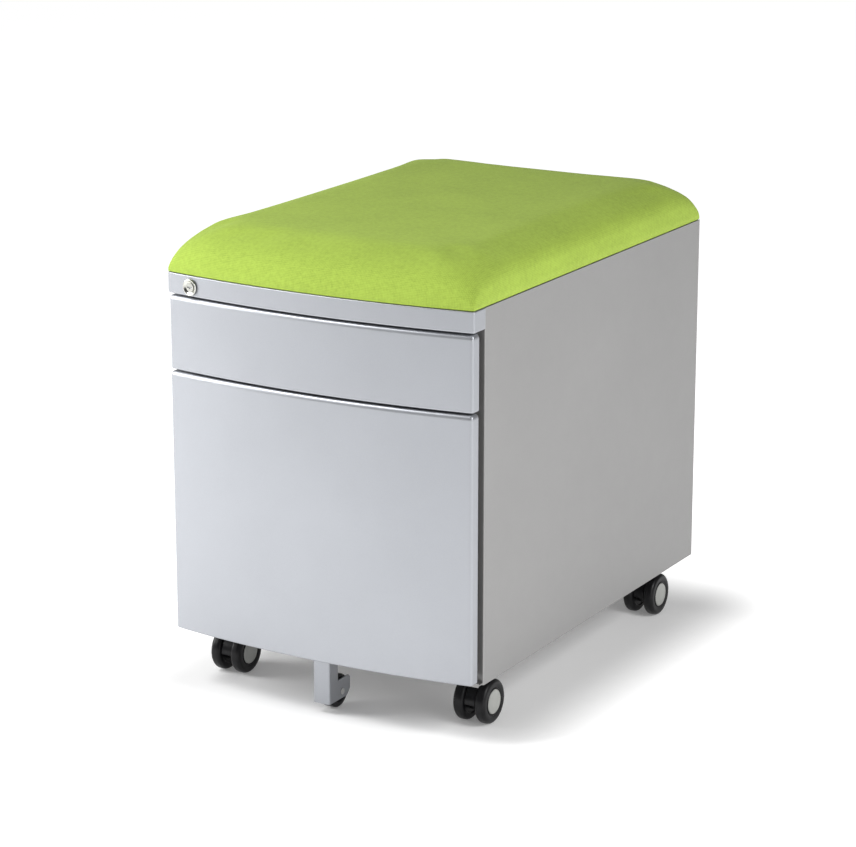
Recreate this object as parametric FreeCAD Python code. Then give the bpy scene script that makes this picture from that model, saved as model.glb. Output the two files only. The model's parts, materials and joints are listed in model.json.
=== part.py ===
import FreeCAD, Part
import math
import os

# Mobile pedestal: a steel case with a box drawer, a file drawer, a bowed front, a padded seat,
# four twin-wheel casters and a small stabilising wheel under the file drawer.
# Millimetres. X across, -Y is the front, +Z up. The origin is on the floor, under the box's centre.

V = FreeCAD.Vector

# ---- driving dimensions: the case
CASE_WIDTH = 381.0
CASE_DEPTH = 520.0
FRONT_REACH = 24.0          # how far the fronts' side edges stand ahead of the side panels
FRONT_BOW = 16.0            # how far the middle of the front bows out ahead of its side edges
CASE_BOTTOM = 62.0
CASE_TOP = 475.0
SHEET = 1.2                 # steel sheet thickness of the case and the drawer fronts
TRAY_SHEET = 1.0
PANEL_FOLD = 14.0           # width of the folds along the side panels' edges
FOLD_RADIUS = 1.6

# ---- driving dimensions: the front
RAIL_HEIGHT = 22.8
FRONT_GAP = 2.4             # gap between the rail and the box front, and between the two fronts
BOX_FRONT_HEIGHT = 82.8
FILE_FRONT_BOTTOM = 67.6
FRONT_SIDE_INSET = 1.2
FRONT_RETURN = 12.0         # depth of the folded sides of a drawer front
FRONT_EDGE_RADIUS = 3.6
BOX_FRONT_SETBACK = 0.8
LINER_HALF_WIDTH = 168.0
LINER_CLEARANCE = 6.0       # the liner's box stays this far inside the front's top and bottom

# ---- driving dimensions: drawers and slides
TRAY_HALF_WIDTH = 162.6
SLIDE_WIDTH = 12.7
SLIDE_START = -231.0
BOX_SLIDE_LENGTH = 406.0
BOX_SLIDE_HEIGHT = 35.0
BOX_SLIDE_Z = 396.0
FILE_SLIDE_LENGTH = 457.0
FILE_SLIDE_HEIGHT = 45.7
FILE_SLIDE_Z = 200.0
BALL_GAP = 2.2
BOX_TRAY_Z = (376.0, 436.0)
BOX_TRAY_END = 190.0
FILE_TRAY_Z = (84.0, 330.0)
FILE_TRAY_END = 245.0
HANGING_RAIL_SPACING = 306.0    # between the two rails that carry letter-size folders
HANGING_RAIL_HEIGHT = 12.0

# ---- driving dimensions: the lock
LOCK_X = -157.0
LOCK_Z = 462.5
BEZEL_RADIUS = 9.5
BARREL_RADIUS = 7.0
PLUG_RADIUS = 5.0
PLUG_DEPTH = 27.0
CAM_REACH = 7.0             # from the plug's axis to the cam's pin
CAM_PIN_RADIUS = 2.0
CAM_THICKNESS = 2.0
BAR_Y = (-236.0, -233.5)
BAR_X = (-187.0, -180.0)
BAR_BOTTOM = 229.0
HOOK_END_X = -166.0
HOOK_HEIGHT = 7.0
CATCH_HEIGHT = 10.0
BOX_HOOK_Z = 415.0
FILE_HOOK_Z = 231.0
CATCH_LEAD = 9.0            # from a hook's lower edge to its catch's lower edge, unlocked

# ---- driving dimensions: the seat
SEAT_CROWN = 527.0
SEAT_HEM = 476.0
BOARD_THICKNESS = 12.0
BOARD_INSET = 8.0
SEAT_SIDE_ROUND = 42.0
SEAT_FRONT_ROUND = 88.0

# ---- driving dimensions: casters and stabilising wheel
WHEEL_RADIUS = 25.0
CASTER_TRAIL = 12.0
CASTER_X = 158.0
CASTER_FRONT_EDGE = 60.0      # from the case's front edge back to the front swivels
CASTER_REAR_EDGE = 46.0       # from the rear face forward to the rear swivels
WEB_HALF = 6.2
CASTER_HUB_RADIUS = 12.5
CASTER_HOOD_RADIUS = 21.0
WHEEL_GAP = 0.5
WHEEL_WIDTH = 13.0
WHEEL_EDGE_RADIUS = 4.5
CASTER_AXLE_RADIUS = 3.0
CAP_RADIUS = 13.6
CAP_DEPTH = 2.0
CAP_PROUD = 1.0
STEM_RADIUS = 4.5
STABILISER_RADIUS = 19.0
STABILISER_Y = -236.0
STABILISER_Z = 20.0
STABILISER_HALF = 7.5
STABILISER_AXLE_RADIUS = 2.5
BRACKET_HALF = 10.5
BRACKET_SHEET = 1.8
RUNNING = 0.05              # radial clearance of a running fit

# ---- worked-out places
HALF = CASE_WIDTH / 2
OVERALL_DEPTH = CASE_DEPTH + FRONT_REACH + FRONT_BOW
Y_FRONT = -OVERALL_DEPTH / 2
Y_REAR = OVERALL_DEPTH / 2
Y_CASE = Y_REAR - CASE_DEPTH
Y_RETURN = Y_CASE - FRONT_RETURN
BOW_RADIUS = (HALF ** 2 + FRONT_BOW ** 2) / (2 * FRONT_BOW)
INSIDE = HALF - SHEET
FLOOR_TOP = CASE_BOTTOM + 2 * SHEET
Y_BACK_PANEL = Y_REAR - 2 * SHEET
RAIL_BOTTOM = CASE_TOP - RAIL_HEIGHT
BOX_FRONT_Z = (RAIL_BOTTOM - FRONT_GAP - BOX_FRONT_HEIGHT, RAIL_BOTTOM - FRONT_GAP)
FILE_FRONT_Z = (FILE_FRONT_BOTTOM, BOX_FRONT_Z[0] - FRONT_GAP)
FRONT_HALF = HALF - FRONT_SIDE_INSET
Y_TRAY = Y_CASE + 1.5
UPRIGHT_INNER = TRAY_HALF_WIDTH + SLIDE_WIDTH
LOCK_Y = Y_FRONT + BOW_RADIUS - math.sqrt(BOW_RADIUS ** 2 - LOCK_X ** 2)
SWIVELS = {
    "front_left": (-CASTER_X, Y_CASE + CASTER_FRONT_EDGE),
    "front_right": (CASTER_X, Y_CASE + CASTER_FRONT_EDGE),
    "rear_left": (-CASTER_X, Y_REAR - CASTER_REAR_EDGE),
    "rear_right": (CASTER_X, Y_REAR - CASTER_REAR_EDGE),
}


# ---- shape helpers
def box(x, y, z):
    """A box from three (low, high) pairs."""
    low = V(min(x), min(y), min(z))
    return Part.makeBox(abs(x[1] - x[0]), abs(y[1] - y[0]), abs(z[1] - z[0]), low)


def rod(start, direction, radius, length):
    return Part.makeCylinder(radius, length, start, direction)


def mirrored(shape):
    """The same piece on the other side of the case."""
    return shape.mirror(V(0, 0, 0), V(1, 0, 0))


def fuse(shapes):
    return shapes[0].multiFuse(shapes[1:]).removeSplitter()


def pair(shape):
    return Part.makeCompound([shape, mirrored(shape)])


def hexagon(center, across_flats, height):
    """A hexagonal prism standing on center."""
    reach = across_flats / 2 / math.cos(math.pi / 6)
    corners = []
    for step in range(7):
        angle = step * math.pi / 3
        corners.append(center + V(reach * math.cos(angle), reach * math.sin(angle), 0))
    return Part.Face(Part.makePolygon(corners)).extrude(V(0, 0, height))


def bowed_prism(half_width, y_back, z, inset=0.0):
    """A block with the pedestal's bowed front, its front face inset from the outer bow."""
    radius = BOW_RADIUS - inset
    y_side = Y_FRONT + BOW_RADIUS - math.sqrt(radius ** 2 - half_width ** 2)
    left = V(-half_width, y_side, z[0])
    right = V(half_width, y_side, z[0])
    middle = V(0, Y_FRONT + inset, z[0])
    back_right = V(half_width, y_back, z[0])
    back_left = V(-half_width, y_back, z[0])
    edges = [
        Part.Arc(left, middle, right).toShape(),
        Part.makeLine(right, back_right),
        Part.makeLine(back_right, back_left),
        Part.makeLine(back_left, left),
    ]
    return Part.Face(Part.Wire(edges)).extrude(V(0, 0, z[1] - z[0]))


def round_front(shape, y_back, radius):
    """Rounds the edges round the front face, which are those that stay ahead of y_back."""
    front_edges = [edge for edge in shape.Edges if edge.BoundBox.YMax < y_back - 0.5]
    return shape.makeFillet(radius, front_edges)


def front_shell(half_width, y_back, z, inset, radius):
    """A bowed sheet front with folded sides, top and bottom, open behind."""
    outer = round_front(bowed_prism(half_width, y_back, z, inset), y_back, radius)
    y_open = y_back + SHEET
    inside_z = (z[0] + SHEET, z[1] - SHEET)
    inner = bowed_prism(half_width - SHEET, y_open, inside_z, inset + SHEET)
    return outer.cut(round_front(inner, y_open, radius - SHEET))


def screw(head, direction, head_radius, head_height, shank_radius, shank_length):
    """A pan-head screw: its head stands behind the point, its shank runs along direction."""
    top = rod(head - direction * head_height, direction, head_radius, head_height)
    shank = rod(head, direction, shank_radius, shank_length)
    return fuse([top, shank])


# ---- case
def right_side_panel():
    """Outer skin with folds along its front, rear, bottom and top."""
    fold_x = (HALF - PANEL_FOLD, HALF)
    block = box(fold_x, (Y_CASE, Y_REAR), (CASE_BOTTOM, CASE_TOP))
    outer_edges = []
    for edge in block.Edges:
        if edge.BoundBox.XMin > HALF - 0.5 and edge.BoundBox.ZLength > 1:
            outer_edges.append(edge)
    block = block.makeFillet(FOLD_RADIUS, outer_edges)
    hollow_y = (Y_CASE + SHEET, Y_REAR - SHEET)
    hollow = box((fold_x[0] - 1, INSIDE), hollow_y, (CASE_BOTTOM - 1, CASE_TOP + 1))
    bottom_fold = box((fold_x[0], INSIDE), hollow_y, (CASE_BOTTOM, CASE_BOTTOM + SHEET))
    top_fold = box((fold_x[0], INSIDE), hollow_y, (CASE_TOP - 2 * SHEET, CASE_TOP - SHEET))
    shell = block.cut(hollow)
    front_trim = box((fold_x[0] - 1, INSIDE), (Y_CASE - 1, Y_REAR + 1), (CASE_TOP - SHEET, CASE_TOP + 1))
    return fuse([shell, bottom_fold, top_fold]).cut(front_trim)


def back_panel():
    """Flat sheet behind the side panels' rear folds, folded forward at its bottom and top."""
    flange = 12.0
    sheet_y = (Y_BACK_PANEL, Y_REAR - SHEET)
    plate = box((-INSIDE, INSIDE), sheet_y, (CASE_BOTTOM + SHEET, CASE_TOP - 2 * SHEET))
    fold_x = (-UPRIGHT_INNER, UPRIGHT_INNER)
    fold_y = (Y_BACK_PANEL - flange, Y_BACK_PANEL)
    bottom = box(fold_x, fold_y, (FLOOR_TOP, FLOOR_TOP + SHEET))
    top = box(fold_x, fold_y, (CASE_TOP - 2 * SHEET, CASE_TOP - SHEET))
    top_link = box(fold_x, sheet_y, (CASE_TOP - 2 * SHEET, CASE_TOP - SHEET))
    return fuse([plate, bottom, top, top_link])


def seat_screw_places():
    return [(x, y) for x in (-120.0, 120.0) for y in (-150.0, 180.0)]


def top_panel():
    panel = box((-INSIDE, INSIDE), (Y_CASE, Y_REAR - SHEET), (CASE_TOP - SHEET, CASE_TOP))
    for x, y in seat_screw_places():
        panel = panel.cut(rod(V(x, y, CASE_TOP - 2 * SHEET), V(0, 0, 1), 2.3, 3 * SHEET))
    return panel


def base_pan():
    """Floor sheet with a raised front lip, notched for the stabiliser and drilled for the casters."""
    lip_y = Y_CASE - 10.0
    lip_top = FILE_FRONT_BOTTOM - 1.1
    plate_z = (CASE_BOTTOM + SHEET, FLOOR_TOP)
    plate = box((-INSIDE, INSIDE), (lip_y, Y_BACK_PANEL), plate_z)
    lip = box((-INSIDE, INSIDE), (lip_y, lip_y + SHEET), (CASE_BOTTOM, lip_top))
    notch = box((-14, 14), (lip_y - 1, Y_CASE + 6), (CASE_BOTTOM - 1, lip_top + 1))
    pan = fuse([plate, lip]).cut(notch)
    for side in (-1, 1):
        fold = box((side * (HALF - PANEL_FOLD), side * HALF), (Y_CASE, Y_CASE + SHEET), plate_z)
        pan = pan.cut(fold)
    for x, y in SWIVELS.values():
        pan = pan.cut(rod(V(x, y, CASE_BOTTOM), V(0, 0, 1), STEM_RADIUS + 0.2, 4 * SHEET))
    return pan


def front_rail():
    """Bowed rail across the top of the front, with the lock's hole."""
    z = (RAIL_BOTTOM, CASE_TOP)
    shell = front_shell(HALF, Y_CASE, z, 0.0, 2.6)
    hole = lock_place(Part.makeCylinder(BARREL_RADIUS, 8.0, V(0, 0, -4)))
    return shell.cut(hole)


def right_uprights():
    """Two vertical channels inside the side panel, which carry the slides."""
    width = 24.0
    uprights = []
    for y in (-226.0, 150.0):
        z = (FLOOR_TOP, CASE_TOP - 2 * SHEET)
        block = box((UPRIGHT_INNER, INSIDE), (y, y + width), z)
        hollow = box((UPRIGHT_INNER + SHEET, INSIDE + 1), (y + SHEET, y + width - SHEET), z)
        uprights.append(block.cut(hollow))
    return uprights


def slide_uprights():
    right = right_uprights()
    return Part.makeCompound(right + [mirrored(upright) for upright in right])


def caster_channels():
    """Two inverted channels across the floor sheet, over the casters' stems."""
    height = 14.0
    half_length = 174.0
    half_width = 22.0
    wall = 1.6
    channels = []
    for y in (Y_CASE + CASTER_FRONT_EDGE, Y_REAR - CASTER_REAR_EDGE):
        z = (FLOOR_TOP, FLOOR_TOP + height)
        block = box((-half_length, half_length), (y - half_width, y + half_width), z)
        inner_y = (y - half_width + wall, y + half_width - wall)
        hollow = box((-half_length - 1, half_length + 1), inner_y, (z[0] - 1, z[1] - wall))
        channels.append(block.cut(hollow))
    return Part.makeCompound(channels)


def caster_stems():
    """Each caster's threaded stem with its collar, and the nut that holds it in the floor sheet."""
    solids = []
    for x, y in SWIVELS.values():
        stem = rod(V(x, y, 34), V(0, 0, 1), STEM_RADIUS, FLOOR_TOP + 9 - 34)
        collar = hexagon(V(x, y, CASE_BOTTOM + SHEET - 4.6), 15.0, 4.6)
        solids.append(fuse([stem, collar]))
        nut = hexagon(V(x, y, FLOOR_TOP), 15.0, 6.5)
        solids.append(nut.cut(rod(V(x, y, FLOOR_TOP - 1), V(0, 0, 1), STEM_RADIUS, 10)))
    return Part.makeCompound(solids)


# ---- slides: three nested channels a side
def slide_channel(x, center_z, half_height, length, lip_side):
    """A channel with its web over x and flanges that reach to lip_side."""
    y = (SLIDE_START, SLIDE_START + length)
    web = box(x, y, (center_z - half_height, center_z + half_height))
    reach = (min(x[0], lip_side), max(x[1], lip_side))
    low = box(reach, y, (center_z - half_height, center_z - half_height + SHEET))
    high = box(reach, y, (center_z + half_height - SHEET, center_z + half_height))
    return fuse([web, low, high])


def slide_members(center_z, height, length):
    """The outer, middle and inner members of a pair of slides."""
    half = height / 2
    step = SHEET + BALL_GAP
    outer_x = (UPRIGHT_INNER - SHEET, UPRIGHT_INNER)
    middle_x = (TRAY_HALF_WIDTH + 7.7, TRAY_HALF_WIDTH + 7.7 + SHEET)
    inner_x = (TRAY_HALF_WIDTH, TRAY_HALF_WIDTH + SHEET)
    outer = slide_channel(outer_x, center_z, half, length, TRAY_HALF_WIDTH + 2.9)
    middle = slide_channel(middle_x, center_z, half - step, length, TRAY_HALF_WIDTH + 1.6)
    inner = slide_channel(inner_x, center_z, half - 2 * step, length, TRAY_HALF_WIDTH + 6.4)
    return pair(outer), pair(middle), pair(inner)


# ---- drawers
def drawer_liner(z, setback):
    """Sheet that closes a front from behind, with a raised box that the tray bolts to."""
    y = Y_RETURN + setback
    plate_x = FRONT_HALF - SHEET - 0.05
    plate = box((-plate_x, plate_x), (y - SHEET, y), (z[0] + SHEET + 0.05, z[1] - SHEET - 0.05))
    box_z = (z[0] + LINER_CLEARANCE, z[1] - LINER_CLEARANCE)
    raised = box((-LINER_HALF_WIDTH, LINER_HALF_WIDTH), (y, Y_TRAY), box_z)
    inner_x = (-LINER_HALF_WIDTH + SHEET, LINER_HALF_WIDTH - SHEET)
    hollow = box(inner_x, (y - 2 * SHEET, Y_TRAY - SHEET), (box_z[0] + SHEET, box_z[1] - SHEET))
    return fuse([plate, raised]).cut(hollow)


def drawer_tray(z, y_end, catch_z):
    """Open-topped tray with turned-in rims, and the welded catch that the lock bar's hook meets."""
    outer = box((-TRAY_HALF_WIDTH, TRAY_HALF_WIDTH), (Y_TRAY, y_end), z)
    inner_x = (-TRAY_HALF_WIDTH + TRAY_SHEET, TRAY_HALF_WIDTH - TRAY_SHEET)
    inner_y = (Y_TRAY + TRAY_SHEET, y_end - TRAY_SHEET)
    tray = outer.cut(box(inner_x, inner_y, (z[0] + TRAY_SHEET, z[1] + 1)))
    rims = []
    rim_width = 4.0
    for side in (-1, 1):
        edge = side * TRAY_HALF_WIDTH
        rims.append(box((edge - side * rim_width, edge), (Y_TRAY, y_end), (z[1] - TRAY_SHEET, z[1])))
    catch_y = BAR_Y[1] + 0.6
    catch_x = (-TRAY_HALF_WIDTH - 9.0, -TRAY_HALF_WIDTH)
    catch = box(catch_x, (catch_y, catch_y + 1.8), (catch_z, catch_z + CATCH_HEIGHT))
    return Part.makeCompound([fuse([tray] + rims), catch])


def tray_screw_places(z):
    return [(x, height) for x in (-110.0, 110.0) for height in (z[0] + 16.0, z[1] - 20.0)]


def tray_screws(z):
    """Screws from inside a tray through its front wall into the liner."""
    screws = []
    for x, height in tray_screw_places(z):
        head = V(x, Y_TRAY + TRAY_SHEET, height)
        screws.append(screw(head, V(0, -1, 0), 4.2, 2.2, 2.0, TRAY_SHEET + SHEET + 4))
    return screws


def drill_for_tray(shape, z):
    for x, height in tray_screw_places(z):
        shape = shape.cut(rod(V(x, Y_TRAY + 3, height), V(0, -1, 0), 2.0, 6.0))
    return shape


def bracket_screw_places():
    return [(0.0, Y_CASE - 28.0), (0.0, Y_CASE - 16.0)]


def drill_for_bracket(shape):
    for x, y in bracket_screw_places():
        shape = shape.cut(rod(V(x, y, FILE_FRONT_BOTTOM - 4), V(0, 0, 1), 1.5, 8.0))
    return shape


def bracket_screws():
    screws = []
    for x, y in bracket_screw_places():
        head = V(x, y, FILE_FRONT_BOTTOM - BRACKET_SHEET)
        screws.append(screw(head, V(0, 0, 1), 3.0, 1.6, 1.5, BRACKET_SHEET + SHEET + 2))
    return screws


def hanging_rails():
    """Two thin rails between the file tray's end walls, for hanging folders."""
    top = FILE_TRAY_Z[1]
    inner = HANGING_RAIL_SPACING / 2
    y = (Y_TRAY + TRAY_SHEET, FILE_TRAY_END - TRAY_SHEET)
    return pair(box((inner, inner + 1.5), y, (top - HANGING_RAIL_HEIGHT, top)))


# ---- lock
def lock_place(shape):
    """Sets a shape built about its own Z axis on the lock's axis, square to the bowed rail.

    Its own +X goes up, and its own +Z goes into the case."""
    lean = -LOCK_X / BOW_RADIUS
    straight = math.sqrt(1 - lean ** 2)
    matrix = FreeCAD.Matrix(
        0, straight, lean, LOCK_X,
        0, -lean, straight, LOCK_Y,
        1, 0, 0, LOCK_Z,
        0, 0, 0, 1)
    placed = shape.copy()
    placed.Placement = FreeCAD.Placement(matrix)
    return placed


def lock_barrel():
    """Bezel, body and flared mouth, bored for the plug."""
    bezel = Part.makeCylinder(BEZEL_RADIUS, 2.0, V(0, 0, -2.3))
    bezel = bezel.makeChamfer(0.8, [bezel.Edges[2]])
    step = Part.makeCylinder(BARREL_RADIUS + 1.2, 0.3, V(0, 0, -0.3))
    body = Part.makeCylinder(BARREL_RADIUS, 22.0, V(0, 0, -0.3))
    mouth = Part.makeCone(BARREL_RADIUS - 0.3, PLUG_RADIUS + RUNNING, 1.2, V(0, 0, -2.3))
    bore = Part.makeCylinder(PLUG_RADIUS + RUNNING, 30.0, V(0, 0, -3))
    return lock_place(fuse([bezel, step, body]).cut(fuse([mouth, bore])))


def lock_nut():
    nut = Part.makeCylinder(8.8, 4.0, V(0, 0, SHEET + 0.5))
    return lock_place(nut.cut(Part.makeCylinder(BARREL_RADIUS, 10.0)))


def lock_plug():
    """Plug with a level keyway, and a tail that the cam sits on."""
    face = -1.2
    body = Part.makeCylinder(PLUG_RADIUS, PLUG_DEPTH - face, V(0, 0, face))
    tail = Part.makeCylinder(3.0, CAM_THICKNESS, V(0, 0, PLUG_DEPTH))
    keyway = box((-0.7, 0.7), (-3.6, 3.6), (face - 1, face + 6))
    guard = box((-1.5, 0.0), (-1.2, 0.8), (face - 1, face + 6))
    return lock_place(fuse([body, tail]).cut(fuse([keyway, guard])))


def cam_pin_offset():
    """The pin's place at rest: below the plug's axis and towards the side panel, at 45 degrees."""
    return -CAM_REACH * math.sqrt(0.5)


def lock_cam():
    offset = cam_pin_offset()
    hub = Part.makeCylinder(5.5, CAM_THICKNESS, V(0, 0, PLUG_DEPTH))
    tip = Part.makeCylinder(CAM_PIN_RADIUS + 1.0, CAM_THICKNESS, V(offset, offset, PLUG_DEPTH))
    pin = Part.makeCylinder(CAM_PIN_RADIUS, 10.0, V(offset, offset, PLUG_DEPTH))
    bore = Part.makeCylinder(3.0, 10.0, V(0, 0, PLUG_DEPTH - 4))
    return lock_place(fuse([hub, tip, pin]).cut(bore))


def lock_bar():
    """Flat bar with a slotted arm for the cam's pin and one hook for each drawer."""
    pin_z = LOCK_Z + cam_pin_offset()
    slot_half = CAM_PIN_RADIUS + 0.3
    arm_z = (pin_z - slot_half - 2.0, pin_z + slot_half + 2.2)
    upright = box(BAR_X, BAR_Y, (BAR_BOTTOM, arm_z[1]))
    arm = box((BAR_X[0], LOCK_X + 6.0), BAR_Y, arm_z)
    hooks = []
    for hook_z in (BOX_HOOK_Z, FILE_HOOK_Z):
        hooks.append(box((BAR_X[0], HOOK_END_X), BAR_Y, (hook_z, hook_z + HOOK_HEIGHT)))
    slot_y = (BAR_Y[0] - 1, BAR_Y[1] + 1)
    slot = box((LOCK_X - 5.2, LOCK_X + 3.0), slot_y, (pin_z - slot_half, pin_z + slot_half))
    return fuse([upright, arm] + hooks).cut(slot)


def lock_bar_guides():
    """Two clips on the left side panel that the bar slides in."""
    play = 0.3
    clips = []
    for z in (300.0, 434.0):
        clip = box((-INSIDE, BAR_X[1] + 2.5), (Y_CASE + SHEET, BAR_Y[1] + 2.0), (z, z + 10.0))
        path_x = (BAR_X[0] - play, BAR_X[1] + play)
        path_y = (BAR_Y[0] - play, BAR_Y[1] + play)
        clips.append(clip.cut(box(path_x, path_y, (z - 1, z + 11.0))))
    return Part.makeCompound(clips)


# ---- seat
def seat_board():
    z = (CASE_TOP, CASE_TOP + BOARD_THICKNESS)
    y_back = Y_REAR - SHEET - BOARD_INSET
    board = bowed_prism(HALF - BOARD_INSET, y_back, z, BOARD_INSET)
    for x, y in seat_screw_places():
        board = board.cut(rod(V(x, y, CASE_TOP - 1), V(0, 0, 1), 2.0, 10.0))
    return board


def seat_screws():
    screws = []
    for x, y in seat_screw_places():
        head = V(x, y, CASE_TOP - SHEET)
        screws.append(screw(head, V(0, 0, 1), 5.0, 2.4, 2.0, SHEET + 9.0))
    return Part.makeCompound(screws)


def rounded_arch(low, high, low_round, high_round, place):
    """A closed wire: a flat hem, short upright sides and elliptical shoulders up to the crown."""
    upright = 6.0
    rise = SEAT_CROWN - SEAT_HEM - upright
    shoulder_z = SEAT_HEM + upright
    points = [place(low, shoulder_z)]
    steps = 8
    for step in range(1, steps + 1):
        angle = step / steps * math.pi / 2
        across = low + low_round * (1 - math.cos(angle))
        points.append(place(across, shoulder_z + rise * math.sin(angle)))
    for step in range(steps, -1, -1):
        angle = step / steps * math.pi / 2
        across = high - high_round * (1 - math.cos(angle))
        points.append(place(across, shoulder_z + rise * math.sin(angle)))
    points.append(place(high, SEAT_HEM))
    points.append(place(low, SEAT_HEM))
    points.append(points[0])
    return Part.Face(Part.makePolygon(points))


def seat_cushion():
    """Crowned pad with a long front roll, hollowed below for its board."""
    half = HALF - 0.5
    y_back = Y_REAR - 0.5
    across = rounded_arch(-half, half, SEAT_SIDE_ROUND, SEAT_SIDE_ROUND, lambda x, z: V(x, Y_FRONT, z))
    along = rounded_arch(Y_FRONT, y_back, SEAT_FRONT_ROUND, SEAT_SIDE_ROUND, lambda y, z: V(-half, y, z))
    pad = across.extrude(V(0, OVERALL_DEPTH, 0)).common(along.extrude(V(2 * half, 0, 0)))
    pad = pad.common(bowed_prism(half, y_back, (SEAT_HEM, SEAT_CROWN + 1), 0.5))
    y_board = Y_REAR - SHEET - BOARD_INSET
    board = bowed_prism(HALF - BOARD_INSET, y_board, (CASE_TOP, CASE_TOP + BOARD_THICKNESS), BOARD_INSET)
    return pad.cut(board)


# ---- casters
def caster_housing(x, y):
    """Hub between the wheels, a hood over it and a round head under the stem's collar."""
    axle_y = y - CASTER_TRAIL
    hub_start = V(x - WEB_HALF, axle_y, WHEEL_RADIUS)
    wide = 2 * WEB_HALF
    hub = rod(hub_start, V(1, 0, 0), CASTER_HUB_RADIUS, wide)
    hood_space = box((x - wide, x + wide), (axle_y - 30.0, axle_y + 30.0), (WHEEL_RADIUS - 1.0, 60.0))
    hood = rod(hub_start, V(1, 0, 0), CASTER_HOOD_RADIUS, wide).common(hood_space)
    back = box((x - WEB_HALF, x + WEB_HALF), (axle_y, y + 8.0), (28.0, 51.0))
    head = rod(V(x, y, 51.0), V(0, 0, 1), 12.0, 6.6)
    front = box((x - WEB_HALF, x + WEB_HALF), (axle_y - 12.0, y), (40.0, 51.0))
    body = fuse([hub, hood, back, front, head])
    body = body.cut(rod(V(x, y, 33.6), V(0, 0, 1), STEM_RADIUS + RUNNING, 30.0))
    body = body.cut(rod(V(x - 20, axle_y, WHEEL_RADIUS), V(1, 0, 0), CASTER_AXLE_RADIUS, 40.0))
    return body.cut(rod(V(x, y, 57.2), V(0, 0, 1), 10.0, 5.0))


def caster_axle(x, y):
    half = WEB_HALF + WHEEL_GAP + WHEEL_WIDTH - CAP_DEPTH - 0.4
    return rod(V(x - half, y - CASTER_TRAIL, WHEEL_RADIUS), V(1, 0, 0), CASTER_AXLE_RADIUS, 2 * half)


def caster_wheel(x, y, side):
    """Moulded wheel with a rounded tread, bored for the axle and recessed for its cap."""
    axis = V(side, 0, 0)
    center = V(x + side * (WEB_HALF + WHEEL_GAP), y - CASTER_TRAIL, WHEEL_RADIUS)
    tread = rod(center, axis, WHEEL_RADIUS, WHEEL_WIDTH)
    rims = [edge for edge in tread.Edges if edge.BoundBox.XLength < 0.01]
    wheel = tread.makeFillet(WHEEL_EDGE_RADIUS, rims)
    bore = rod(center, axis, CASTER_AXLE_RADIUS + RUNNING, WHEEL_WIDTH)
    recess = rod(center + axis * (WHEEL_WIDTH - CAP_DEPTH), axis, CAP_RADIUS, 10.0)
    return wheel.cut(bore).cut(recess)


def caster_cap(x, y, side):
    """Round cap over the wheel's hub, with a softened rim."""
    axis = V(side, 0, 0)
    reach = WEB_HALF + WHEEL_GAP + WHEEL_WIDTH - CAP_DEPTH
    center = V(x + side * reach, y - CASTER_TRAIL, WHEEL_RADIUS)
    cap = rod(center, axis, CAP_RADIUS, CAP_DEPTH + CAP_PROUD)
    outer_face = center.x + side * (CAP_DEPTH + CAP_PROUD)
    rims = [edge for edge in cap.Edges if abs(edge.BoundBox.Center.x - outer_face) < 0.01]
    return cap.makeFillet(0.8, rims)


# ---- stabilising wheel
def anti_tip_bracket():
    """Folded bracket: a top tab under the file front, a front plate and two ears for the axle."""
    front_y = Y_CASE - 22.0
    rear_y = Y_CASE + 21.0
    tall_y = Y_CASE - 4.4
    low_z = 12.0
    ear_top = 35.0
    top = FILE_FRONT_BOTTOM
    x = (-BRACKET_HALF, BRACKET_HALF)
    corner = 7.0
    ear = [
        V(x[0], front_y, low_z), V(x[0], rear_y - corner, low_z), V(x[0], rear_y, low_z + corner),
        V(x[0], rear_y, ear_top - 3), V(x[0], rear_y - 3, ear_top), V(x[0], tall_y, ear_top),
        V(x[0], tall_y, top), V(x[0], front_y, top), V(x[0], front_y, low_z),
    ]
    block = Part.Face(Part.makePolygon(ear)).extrude(V(2 * BRACKET_HALF, 0, 0))
    bends = []
    for edge in block.Edges:
        upright = edge.BoundBox.ZLength > 1 and edge.BoundBox.XLength < 0.1
        if upright and edge.BoundBox.YMax < front_y + 0.5:
            bends.append(edge)
    block = block.makeFillet(2.0, bends)
    inner_x = (x[0] + BRACKET_SHEET, x[1] - BRACKET_SHEET)
    hollow = box(inner_x, (front_y + BRACKET_SHEET, rear_y + 1), (low_z - 1, top - BRACKET_SHEET))
    tab = box(x, (front_y - 11.0, front_y + 4.0), (top - BRACKET_SHEET, top))
    bracket = fuse([block.cut(hollow), tab])
    axle = rod(V(-20, STABILISER_Y, STABILISER_Z), V(1, 0, 0), STABILISER_AXLE_RADIUS, 40)
    return drill_for_bracket(bracket.cut(axle))


def anti_tip_axle():
    """Rivet with a low head outside each ear."""
    length = BRACKET_HALF + 0.9
    shank = rod(V(-length, STABILISER_Y, STABILISER_Z), V(1, 0, 0), STABILISER_AXLE_RADIUS, 2 * length)
    heads = []
    for side in (-1, 1):
        start = V(side * BRACKET_HALF, STABILISER_Y, STABILISER_Z)
        heads.append(rod(start, V(side, 0, 0), STABILISER_AXLE_RADIUS + 1.2, 0.9))
    return fuse([shank] + heads)


def anti_tip_wheel():
    start = V(-STABILISER_HALF, STABILISER_Y, STABILISER_Z)
    wheel = rod(start, V(1, 0, 0), STABILISER_RADIUS, 2 * STABILISER_HALF)
    rims = [edge for edge in wheel.Edges if edge.BoundBox.XLength < 0.01]
    wheel = wheel.makeFillet(2.0, rims)
    return wheel.cut(rod(start, V(1, 0, 0), STABILISER_AXLE_RADIUS + RUNNING, 2 * STABILISER_HALF))


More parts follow.
